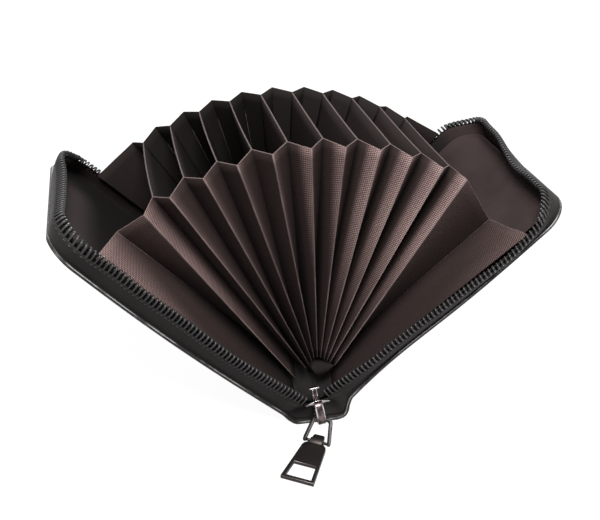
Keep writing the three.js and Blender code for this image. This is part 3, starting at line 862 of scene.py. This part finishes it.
def ridge_line(number, angle, end, stand_out_top, reach):
    """A pleat's ridge. The front ridges' feet are drawn together over the base's tongue."""
    foot, top = fold_line(angle, end, pleat_foot_depth, stand_out_top, reach)
    if end < 0:
        foot = np.array((front_feet[number][0], foot[1], front_feet[number][1]))
    return foot, top


def pleated(name, folds, painted_shades, rubbed, end, inner, belly, wave, pale):
    """Ribbed cloth folded along lines from foot to top, with another cloth inside. The panels' painted shades,
    their painted light and shade, hold how dark each is painted at its two sides and how much darker at its
    foot, and rubbed the folds that have worn.
    The weave is squared to the second fold. The panels belly a little, the last one waves, and pale narrows
    the worn edge at the top."""
    up = np.linspace(0, 1, 24)[:, None]
    lines = [foot + (top - foot) * up for foot, top in folds]
    lengths = [np.linalg.norm(top - foot) for foot, top in folds]
    widths = [np.linalg.norm(b - a, axis=1) for a, b in zip(lines, lines[1:])]
    shares = [0, 0.02, 0.08, 0.2, 0.35, 0.5, 0.65, 0.8, 0.92, 0.98]
    columns, laid, edge, shade = [], [], [], []
    run = -widths[0]
    last = len(widths) - 1
    for k, (a, b) in enumerate(zip(lines, lines[1:])):
        away = np.cross(b[-1] - a[-1], a[-1] - a[0])
        away = away / np.linalg.norm(away) * belly[k % len(belly)]
        for share in shares + [1] * (k == last):
            bulge = np.sin(np.pi * share) * np.sin(np.pi * np.clip(up * 0.85 + 0.1, 0, 1))
            if k == last:
                bulge = bulge + wave * np.sin(3 * np.pi * share) * up
            columns.append(a + (b - a) * share + away * bulge)
            long = lengths[k] + (lengths[k + 1] - lengths[k]) * share
            laid.append(stacked(run + share * widths[k], up[:, 0] * long))
            near = min([9.0] + [share] * (k in rubbed) + [1 - share] * (k + 1 in rubbed))
            edge.append(stacked(near * widths[k], (1 - up[:, 0]) * long + pale))
            depth = painted_shades[k][0] + (painted_shades[k][1] - painted_shades[k][0]) * share
            shade.append(stacked(depth + painted_shades[k][2] * (1 - up[:, 0]), up[:, 0]))
        run = run + widths[k]
    rows = np.stack(columns, 1)
    maps = {"laid": np.stack(laid, 1), "edge": np.stack(edge, 1), "shade": np.stack(shade, 1)}
    piece, area = cloth(name, rows, maps, ribbed_cloth, pleat_thick)
    piece.data.materials.append(inner)
    normals = np.empty(3 * len(piece.data.polygons))
    piece.data.polygons.foreach_get("normal", normals)
    one_side = (rows.shape[0] - 1) * (rows.shape[1] - 1)
    place = np.arange(len(piece.data.polygons))
    first_inside = 0 if normals[1:3 * one_side:3].sum() * end < 0 else one_side
    inside = (place >= first_inside) & (place < first_inside + one_side)
    piece.data.polygons.foreach_set("material_index", inside.astype(np.int32))
    flat = (float(np.max(sum(widths))) * MM, float(max(lengths)) * MM)
    return piece, flat, min(area, flat[0] * flat[1])


wobble = np.random.default_rng(11).uniform(-1, 1, (2, 9, 2))
for end, word_end, pale in ((-1, "front", 0.1), (1, "back", 0.4)):
    for i in range(9):
        turn_by, deeper = wobble[(end + 1) // 2, i]
        folds = [fold_line(leaf_angle[i], end, 0, 0),
                 ridge_line(i + 1, (leaf_angle[i] + leaf_angle[i + 1]) / 2 + 0.25 * turn_by, end,
                            pleat_depth + 0.35 * deeper, leaf_reach - 0.3),
                 fold_line(leaf_angle[i + 1], end, 0, 0)]
        inner = shaded_creased_pocket if i < shaded_leaves else shaded_pocket_cloth
        # Painted light and shade for the pleats' two panels, set apart for the left, middle and right of the
        # fan.
        if i < shaded_leaves:
            painted_shades = ((1.3, 0.9, 0), (0.47, 1.45, 0))
        elif i < 6:
            painted_shades = ((1.55, -0.3, 1.4), (0.55, 1.45, 0.2))
        else:
            painted_shades = ((1.9, -0.85, 0.2), (0.0, 1.7, 0.2))
        pleat, flat, area = pleated(f"gusset_{word_end}_{i + 1:02d}", folds, painted_shades, (1,), end, inner,
                                    (0.35, -0.3), 0, pale)
        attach(pleat, f"leaf_{i + 1:02d}")
        turn = math.radians(leaf_angle[i])
        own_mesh(pleat)
        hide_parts(f"gusset_{word_end}")
    for side, word in sides:
        last = leaf_angle[0] if side < 0 else leaf_angle[-1]
        folds = [fold_line(last, end, 0, 0),
                 ridge_line(0 if side < 0 else 10, last + side * 2.6, end, pleat_depth, leaf_reach)]
        # Painted light and shade for the end gussets' panels.
        if end < 0:
            painted_shades = (((1.0, 0, 0), (0.5, 0.7, 0.8), (0.7, -0.35, 1.9)) if side < 0
                      else ((2.0, -0.9, 0.2), (0.55, 1.0, 0), (0.8, 0.42, 1.0)))
            loose, loose_reach = (45.0, 94.0) if side < 0 else (47.0, 88.5)
            seam_top, wave = (95.5, 0.15) if side < 0 else (92.0, 0.9)
            folds.append(fold_line(side * loose, end, 0.5, 0.5, loose_reach))
            seam = wall_place(side, np.array((3.0, seam_top)), -1.5, np.array((6.2, 7.0)))
        else:
            painted_shades = ((1, 0, 0), (0.3, 0.9, 0))
            seam_top, wave = (92.5, 0.15) if side < 0 else (94.5, 0.15)
            seam = wall_place(side, path_whole - np.array((3.0, seam_top)), -2.5, np.array((6.2, 8.2)))
        folds.append((seam[0], seam[1]))
        pleat, flat, area = pleated(f"gusset_{word_end}_{word}_end", folds, painted_shades, (1, 2), end,
                                    leaf_cloth if end > 0 else shaded_pocket_cloth,
                                    (0.2, -0.4, 0.6), wave, pale)
        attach(pleat, f"{word}_cover")
        cover_place(side, 50, 1.6 + 0.8 * -side, 0) * MM
        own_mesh(pleat)
        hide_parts(f"gusset_{word_end}")

# Accordion base: the folded strip of cloth that the leaves' feet are sewn into, with a tongue in front.
# Below it black tape cloth falls to the zip's end on both sides and hides the spine's inside.
spread = np.linspace(-1, 1, 17)
lengthwise = np.concatenate([[34.4, 33.8, 32, 29], np.linspace(24, -24, 7), [-28]])
narrow = ramp(lengthwise, -20, -28)[:, None]
turned = spread * (38 - 15 * narrow) - 2.5 + 12 * narrow
closing = ramp(lengthwise, 29, 34.6)[:, None]
radius = (9.4 - 5.5 * np.clip(np.abs(spread) - 0.8, 0, 1) * 5)[None] * np.sqrt(1 - 0.9 * closing ** 2)
body = fan_place(turned, radius, lengthwise[:, None])
lowest = -0.42
hang = ((spread - lowest) / np.where(spread < lowest, 1 + lowest, 1 - lowest)) ** 2
tip = stacked(2.9 + 4.1 * spread, -34.0, 17.9 + 3.5 * hang)
crest = stacked(2.7 + 4.3 * spread, -31.5, 24.2 - 3.0 * spread ** 2)
part = np.linspace(0.2, 1, 6)[:, None, None]
rows = np.concatenate([body, bowed(part, body[-1], crest + (0, -1.2, 0.6), tip)])
# Painted shade: the base's cloth is darkened all over.
maps = {"laid": rows[:, :, :2], "shade": rows[:, :, :2] * 0 + (0.85, 0)}
base, area = cloth("accordion_base_cloth", rows, maps, lining_cloth, 0.6)
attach(base, "spine")
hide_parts("accordion_base", "spine_lining")

for end, word_end in ends:
    for side, word in sides:
        run = 2.2 if end < 0 else path_whole - 2.2
        outer = np.stack([wall_place(side, run, -1.4, 6.0),
                          fan_place(side * 46, pleat_foot + 0.5, end * 24.3)])
        inner = np.array([(0, end * 36.4, 8.2), (0, end * 25.0, 18.6)])
        part = np.linspace(0, 1, 9)[None, :, None]
        up = np.linspace(0, 1, 9)[:, None, None]
        low = inner[0] * (1 - part) + outer[0] * part
        high = inner[1] * (1 - part) + outer[1] * part
        rows = low * (1 - up) + high * up
        rows[:, :, 2] -= 1.2 * np.sin(np.pi * up[:, :, 0]) * np.sin(np.pi * part[:, :, 0])
        web, area = cloth(f"tape_web_{word_end}_{word}", rows, {}, zip_tape, 0.4)
        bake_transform(web)

# Slider: two cast zinc plates on a post that parts the rows of teeth, nickel plated and polished.
# The front plate spreads in thin wings, and the back plate ends in a small crossbar on a fluted stem.
bright_nickel, handle = new_finish("bright_nickel")
where = handle.place()
rubbed = handle.noise(where, 420.0, 3.0)
scratch = handle.node("ShaderNodeTexNoise", (), {
    "Vector": handle.node("ShaderNodeMapping", (), {"Vector": where, "Scale": (4000.0, 500.0, 400.0)}),
    "Detail": 2.0})
set_shader(bright_nickel, {
    "Base Color": handle.blend(handle.ease(rubbed, 0.38, 0.62), (0.26, 0.245, 0.245),
                               (0.60, 0.585, 0.58)),
    "Metallic": 1.0,
    "Roughness": 0.16 + rubbed * 0.14,
    "Normal": handle.relief(scratch, 0.1, 0.00003),
})


def rubbed_metal(name, low, high, scale, detail, gloss, eased=None):
    """Metal between two tones that handling has rubbed in spots, eased where they show as patches."""
    material, handle = new_finish(name)
    rubbed = handle.noise(handle.place(), scale, detail)
    set_shader(material, {
        "Base Color": handle.blend(handle.ease(rubbed, *eased) if eased else rubbed, low, high),
        "Metallic": 1.0,
        "Roughness": gloss + rubbed * 0.15,
        "Normal": handle.relief(rubbed, 0.08, 0.00003),
    })
    return material


patches = (0.35, 0.65)
# A darker copy of the nickel, painted shade for the slider's and bridge's faces that lie in shade.
shaded_nickel = rubbed_metal("shaded_nickel", (0.045, 0.034, 0.035), (0.17, 0.125, 0.128), 500.0,
                             3.0, 0.2, patches)


def cut_plate(name, outline, depth, ease, face, edge):
    """A plate cut to an outline, given as points in mm, then thickened by depth and eased along its sharp
    edges. The flats and the eased edges have a material each."""
    bpy.ops.object.select_all(action="DESELECT")
    bpy.ops.mesh.primitive_circle_add(vertices=len(outline), radius=0.01, fill_type="NGON")
    plate = bpy.context.object
    plate.name = name
    for vertex, point in zip(plate.data.vertices, outline):
        vertex.co = Vector(point) * MM
    plate.data.materials.append(face)
    plate.data.materials.append(edge)
    bpy.ops.object.mode_set(mode="EDIT")
    bpy.ops.mesh.select_all(action="SELECT")
    bpy.ops.mesh.extrude_region_move(TRANSFORM_OT_translate={"value": Vector(depth) * MM})
    bpy.ops.mesh.select_all(action="SELECT")
    bpy.ops.mesh.normals_make_consistent(inside=False)
    bpy.ops.mesh.select_all(action="DESELECT")
    bpy.ops.mesh.select_mode(type="EDGE")
    bpy.ops.mesh.edges_select_sharp(sharpness=math.radians(60))
    bpy.ops.mesh.bevel(offset=ease * MM, segments=3, affect="EDGES", material=1)
    bpy.ops.mesh.select_mode(type="VERT")
    bpy.ops.object.mode_set(mode="OBJECT")
    bpy.ops.object.shade_smooth_by_angle(angle=math.radians(50))
    return plate


def joined(name, pieces):
    """Several meshes made one piece."""
    bpy.ops.object.select_all(action="DESELECT")
    for piece in pieces:
        piece.select_set(True)
    bpy.context.view_layer.objects.active = pieces[0]
    bpy.ops.object.join()
    pieces[0].name = name
    return pieces[0]


def bar_outline(left, right, low, high, y):
    """The four corners of an upright bar's face."""
    return [(left, y, low), (right, y, low), (right, y, high), (left, y, high)]


slider_back = -37.7
slider_front = -42.5
slider_tilt = (Matrix.Translation((-0.0005, 0, 0.0105)) @ Matrix.Rotation(math.radians(-9), 4, "Y")
               @ Matrix.Translation((0, 0, -0.0105)))
half_plate = [(1.1, 4.8), (1.15, 10.7), (1.9, 11.4), (3.2, 11.6), (4.2, 11.45), (4.6, 11.6), (4.3, 11.95),
              (3.0, 12.4), (1.6, 12.8), (0.6, 12.95)]
front_outline = half_plate + [(-x, z) for x, z in half_plate[::-1]]
slider_parts = [cut_plate("front_plate", [(x, slider_front, z) for x, z in front_outline], (0, 0.9, 0), 0.16,
                          bright_nickel, bright_nickel)]
for left, right, low, high, deep, face in ((-0.5, 0.5, 5.4, 15.5, 0.6, shaded_nickel),
                                           (-1.8, 1.8, 15.35, 15.95, 1.0, bright_nickel),
                                           (-0.5, -0.92, 10.5, 15.5, 0.9, bright_nickel),
                                           (0.5, 0.92, 10.5, 15.5, 0.9, bright_nickel)):
    outline = bar_outline(left, right, low, high, slider_back - deep)
    slider_parts.append(cut_plate("back_bar", outline, (0, deep, 0), 0.12, face, face))
post_outline = bar_outline(-0.8, 0.8, 9.2, 12.3, slider_front + 0.5)
slider_parts.append(cut_plate("post", post_outline, (0, 3.8, 0), 0.2, shaded_nickel, bright_nickel))
slider = joined("slider_body_cast", slider_parts)
slider.data.transform(slider_tilt)
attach(slider, "spine")
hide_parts("slider_body")

# Bridge: a strap of the same metal arched over the slider's face, with room for the ring's bar.
# Its edges are bright nickel, and its middle is painted shade, in a darker copy of the nickel.
arch = [(-42.3, 4.6), (-45.0, 4.6), (-46.0, 5.0), (-46.6, 5.8), (-46.75, 6.9), (-46.4, 8.6), (-45.7, 10.6),
        (-44.8, 12.2), (-43.9, 12.9), (-42.3, 13.0), (-42.3, 12.1), (-43.6, 12.0), (-44.1, 11.6),
        (-44.9, 10.2), (-45.5, 8.4), (-45.85, 6.9), (-45.75, 6.1), (-45.4, 5.65), (-44.7, 5.45),
        (-42.3, 5.45)]
bridge = cut_plate("slider_bridge_strap", [(-1.55, y, z) for y, z in arch], (3.1, 0, 0), 0.4,
                   shaded_nickel, bright_nickel)
bridge.data.transform(slider_tilt)
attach(bridge, "spine")
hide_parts("slider_bridge")

# Chain end: the last nylon teeth of the zip, which stay closed under the slider.
# They sit on a tag of the tape that is sewn to the gore.
tag_line = np.array([(-37.6, 3.0), (-38.3, 2.3), (-39.4, 2.3), (-40.1, 3.2), (-40.1, 8.7)])
tag_run = np.gradient(tag_line, axis=0)
tag_run /= np.linalg.norm(tag_run, axis=1)[:, None]
tag_across = np.array([-2.5, 2.5, 2.5, -2.5])
tag_face = np.array([0.3, 0.3, -0.3, -0.3])
tag_rings = [stacked(tag_across, tag_face * b[1] + a[0], -tag_face * b[0] + a[1])
             for a, b in zip(tag_line, tag_run)]
tag = closed_loft("zip_tag", np.array(tag_rings), zip_tape)
closed_teeth = []
for k in range(3):
    low = 3.6 + tooth_pitch * k
    corners = ((-1.5, low), (1.5, low + 0.3), (1.5, low + 1.0), (-1.5, low + 0.7))
    outline = [(x, -40.95, z) for x, z in corners]
    closed_teeth.append(cut_plate(f"closed_tooth_{k}", outline, (0, 1.7, 0), 0.2, black_nylon, black_nylon))
tag = joined("zip_chain_end_stub", [tag, *closed_teeth])
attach(tag, "spine")
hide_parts("zip_chain_end")

# Pull ring: a flat stirrup that hangs in the bridge, in gunmetal with rubbed edges.
# A peg in the eye at each of its feet goes into the tab's neck.
pull_turn = Matrix.Rotation(math.radians(-32), 4, "Z")
ring_joint = joints["pull_ring_swing"]
tab_joint = joints["pull_tab_swing"]
ring_length = 8.25
ring_drop = (ring_joint["pos_m"][2] - tab_joint["pos_m"][2]) / MM
ring_place = (Matrix.Translation(ring_joint["pos_m"]) @ pull_turn
              @ Matrix.Rotation(math.asin(ring_drop / ring_length), 4, "X"))
gunmetal = rubbed_metal("gunmetal", (0.009, 0.008, 0.008), (0.026, 0.023, 0.023), 420.0, 4.0, 0.2)
worn_gunmetal = rubbed_metal("worn_gunmetal", (0.013, 0.0115, 0.0115), (0.060, 0.053, 0.0525),
                             500.0, 4.0, 0.24, patches)
half_ring = [(2.5, 0.72), (3.2, 0.5), (3.7, 0.0), (3.95, -0.8), (5.1, -7.4), (5.15, -8.4), (4.85, -8.95),
             (4.2, -9.05), (3.8, -8.7), (3.75, -7.6), (2.65, -1.3), (2.4, -0.85), (1.9, -0.72)]
ring_outline = half_ring + [(-x, y) for x, y in half_ring[::-1]]
parts = [cut_plate("stirrup", [(x, y, -0.65) for x, y in ring_outline], (0, 0, 1.3), 0.3,
                   gunmetal, worn_gunmetal)]
for side in (-1, 1):
    bpy.ops.mesh.primitive_cylinder_add(vertices=14, radius=0.55 * MM, depth=2.8 * MM,
                                        rotation=(0, math.pi / 2, 0),
                                        location=(side * 3.1 * MM, -ring_length * MM, 0))
    peg = bpy.context.object
    bpy.ops.object.transform_apply(location=True, rotation=True, scale=True)
    bpy.ops.object.mode_set(mode="EDIT")
    bpy.ops.mesh.select_all(action="SELECT")
    bpy.ops.mesh.bevel(offset=0.1 * MM, segments=2, affect="EDGES")
    bpy.ops.object.mode_set(mode="OBJECT")
    bpy.ops.object.shade_smooth_by_angle(angle=math.radians(50))
    peg.data.materials.append(worn_gunmetal)
    parts.append(peg)
ring = joined("pull_ring_wire", parts)
ring.data.transform(ring_place)
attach(ring, "pull_ring")
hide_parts("pull_ring")

# Pull tab: a die-cast plate in dark gunmetal that widens from its neck to a slotted end.
# The edges are eased and rubbed bright, the faces are satin.
dark_gunmetal, handle = new_finish("dark_gunmetal")
where = handle.place()
satin = handle.noise(where, 900.0, 3.0)
handled = handle.noise(where, 160.0, 3.0)
set_shader(dark_gunmetal, {
    "Base Color": handle.blend(handled, (0.031, 0.0265, 0.025), (0.055, 0.047, 0.044)),
    "Metallic": 0.9,
    "Roughness": 0.38 + satin * 0.14,
    "Normal": handle.relief(satin, 0.12, 0.00004),
})
rubbed_gunmetal = rubbed_metal("rubbed_gunmetal", (0.045, 0.040, 0.039), (0.13, 0.117, 0.115),
                               600.0, 4.0, 0.2)
tab_place = Matrix.Translation(tab_joint["pos_m"]) @ pull_turn
tab_low = -1.2
tab_rim = 1.3
tab_thick = 1.5
bpy.ops.object.select_all(action="DESELECT")
bpy.ops.mesh.primitive_plane_add(size=2)
tab = bpy.context.object
corners = [(-6.0, -20.9), (6.0, -20.9), (5.15, -11.25), (-5.15, -11.25)]
order = sorted(tab.data.vertices, key=lambda v: (v.co.y, v.co.x))
for vertex, (x, y) in zip((order[0], order[1], order[3], order[2]), corners):
    vertex.co = (x * MM, y * MM, tab_low * MM)
bpy.ops.object.mode_set(mode="EDIT")
bpy.ops.mesh.select_all(action="SELECT")
bpy.ops.mesh.inset(thickness=tab_rim * MM)
bpy.ops.mesh.delete(type="FACE")
for half, y in ((4.45, -3.2), (4.1, -2.2), (2.7, -0.9), (2.4, 0.8), (2.1, 3.0), (1.75, 3.6)):
    bpy.ops.mesh.select_mode(type="VERT")
    bpy.ops.mesh.select_all(action="DESELECT")
    bpy.ops.object.mode_set(mode="OBJECT")
    highest = max(vertex.co.y for vertex in tab.data.vertices)
    for edge in tab.data.edges:
        edge.select = all(tab.data.vertices[k].co.y > highest - 1e-6 for k in edge.vertices)
    for vertex in tab.data.vertices:
        vertex.select = vertex.co.y > highest - 1e-6
    was_half = max(vertex.co.x for vertex in tab.data.vertices if vertex.select)
    bpy.ops.object.mode_set(mode="EDIT")
    bpy.ops.mesh.extrude_region_move(TRANSFORM_OT_translate={"value": (0, y * MM - highest, 0)})
    bpy.ops.transform.resize(value=(half * MM / was_half, 1, 1), center_override=(0, y * MM, tab_low * MM))
bpy.ops.mesh.select_all(action="SELECT")
bpy.ops.mesh.normals_make_consistent(inside=False)
bpy.ops.object.mode_set(mode="OBJECT")
tab.data.materials.append(dark_gunmetal)
tab.data.materials.append(rubbed_gunmetal)
shape_with(tab, "SOLIDIFY", thickness=tab_thick * MM, offset=-1.0, use_even_offset=True)
shape_with(tab, "BEVEL", width=0.22 * MM, segments=3, limit_method="ANGLE", material=1,
           angle_limit=math.radians(40))
lowest = min(vertex.co.z for vertex in tab.data.vertices)
tab.data.transform(Matrix.Translation((0, 0, tab_low * MM - lowest)))
barrel_line = ((-1.1, -1.2), (1.1, -1.2), (1.3, 0.2), (0.8, 0.95), (-0.8, 0.95), (-1.5, 0.2))
barrel = cut_plate("tab_barrel", [(-2.45, y, z) for y, z in barrel_line], (4.9, 0, 0), 0.3,
                   dark_gunmetal, dark_gunmetal)
tab = joined("pull_tab_plate", [tab, barrel])
bpy.ops.object.shade_smooth_by_angle(angle=math.radians(50))
tab.data.transform(tab_place)
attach(tab, "pull_tab")
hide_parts("pull_tab")
